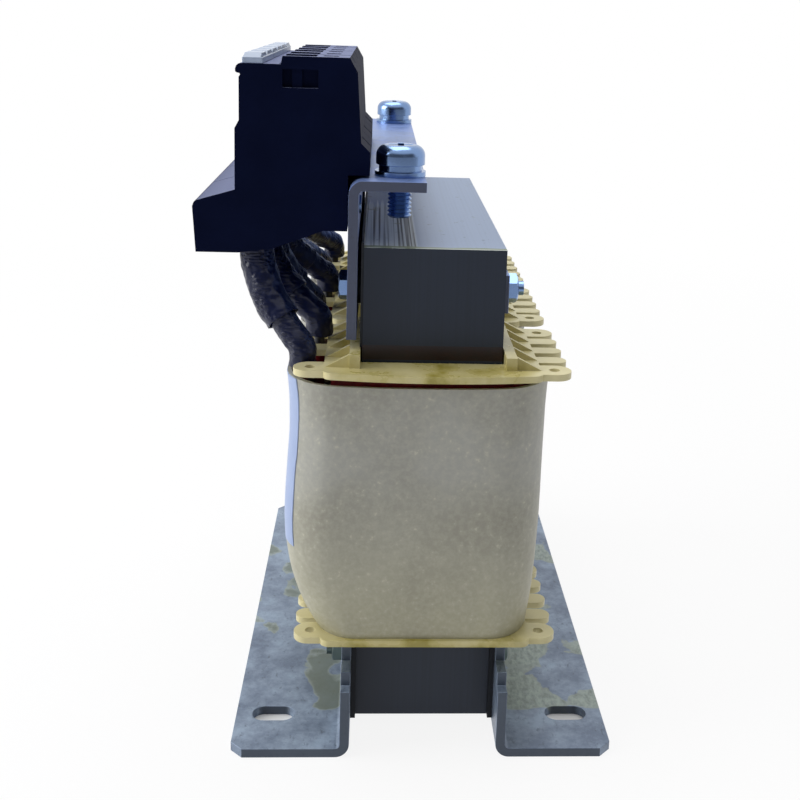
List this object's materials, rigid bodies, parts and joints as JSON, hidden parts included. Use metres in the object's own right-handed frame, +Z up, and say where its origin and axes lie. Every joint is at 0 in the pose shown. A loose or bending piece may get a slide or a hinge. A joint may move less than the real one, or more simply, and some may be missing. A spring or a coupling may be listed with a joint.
{
  "type": "line reactor",
  "caption": "Small three-phase iron-core line reactor on two slotted angle feet, with wrapped coils and a row of wire terminals on a side bracket.",
  "frame": {"origin": "centre of the four foot slots, on the surface that the feet stand on", "axes": "+X across the core, away from the terminals; +Y along the core; +Z up"},
  "size_m": [0.0885, 0.141, 0.1436],
  "materials": {
    "core_steel": "varnished silicon steel sheets",
    "zinc_sheet": "zinc-plated folded sheet",
    "pressboard": "varnished pressboard",
    "zinc_fasteners": "bright zinc plating",
    "clamp_brass": "plated brass",
    "label_paper": "bare matt label",
    "gap_board": "varnished hard paper",
    "bobbin_nylon": "moulded glass-filled nylon",
    "copper_wire": "enamelled copper wire",
    "wrap_paper": "mottled varnished wrap",
    "block_nylon": "moulded nylon",
    "marker_plastic": "milky plastic",
    "lead_sleeving": "varnished braided sleeving",
    "lead_insulation": "varnished wire insulation"
  },
  "bodies": {
    "root": {"core_legs": "core_steel", "top_yoke": "core_steel", "foot_left": "zinc_sheet", "foot_right": "zinc_sheet", "terminal_bracket": "zinc_sheet", "clamp_strip": "zinc_sheet", "terminal_rail": "zinc_sheet", "foot_insulation_left": "pressboard", "foot_insulation_right": "pressboard", "bracket_insulation": "pressboard", "bracket_spacers": "pressboard", "top_yoke_bolts": "zinc_fasteners", "top_yoke_nuts": "zinc_fasteners", "bottom_yoke_bolts": "zinc_fasteners", "bottom_yoke_nuts": "zinc_fasteners", "flat_washers": "zinc_fasteners", "spring_washers": "zinc_fasteners", "earth_screws": "zinc_fasteners", "rail_rivets": "zinc_fasteners", "wire_clamps": "clamp_brass", "coil_label": "label_paper", "gap_spacer_front": "gap_board", "bobbin_front": "bobbin_nylon", "winding_front": "copper_wire", "coil_wrap_front": "wrap_paper", "gap_spacer_middle": "gap_board", "bobbin_middle": "bobbin_nylon", "winding_middle": "copper_wire", "coil_wrap_middle": "wrap_paper", "gap_spacer_rear": "gap_board", "bobbin_rear": "bobbin_nylon", "winding_rear": "copper_wire", "coil_wrap_rear": "wrap_paper", "terminal_block_1": "block_nylon", "marker_strip_1": "marker_plastic", "terminal_block_2": "block_nylon", "marker_strip_2": "marker_plastic", "terminal_block_3": "block_nylon", "marker_strip_3": "marker_plastic", "lead_sleeve_1": "lead_sleeving", "lead_sleeve_2": "lead_sleeving", "lead_sleeve_3": "lead_sleeving", "lead_sleeve_4": "lead_sleeving", "lead_sleeve_5": "lead_sleeving", "lead_sleeve_6": "lead_sleeving", "lead_1": "lead_insulation", "lead_2": "lead_insulation", "lead_3": "lead_insulation", "lead_4": "lead_insulation", "lead_5": "lead_insulation", "lead_6": "lead_insulation"}
  },
  "joints": []
}
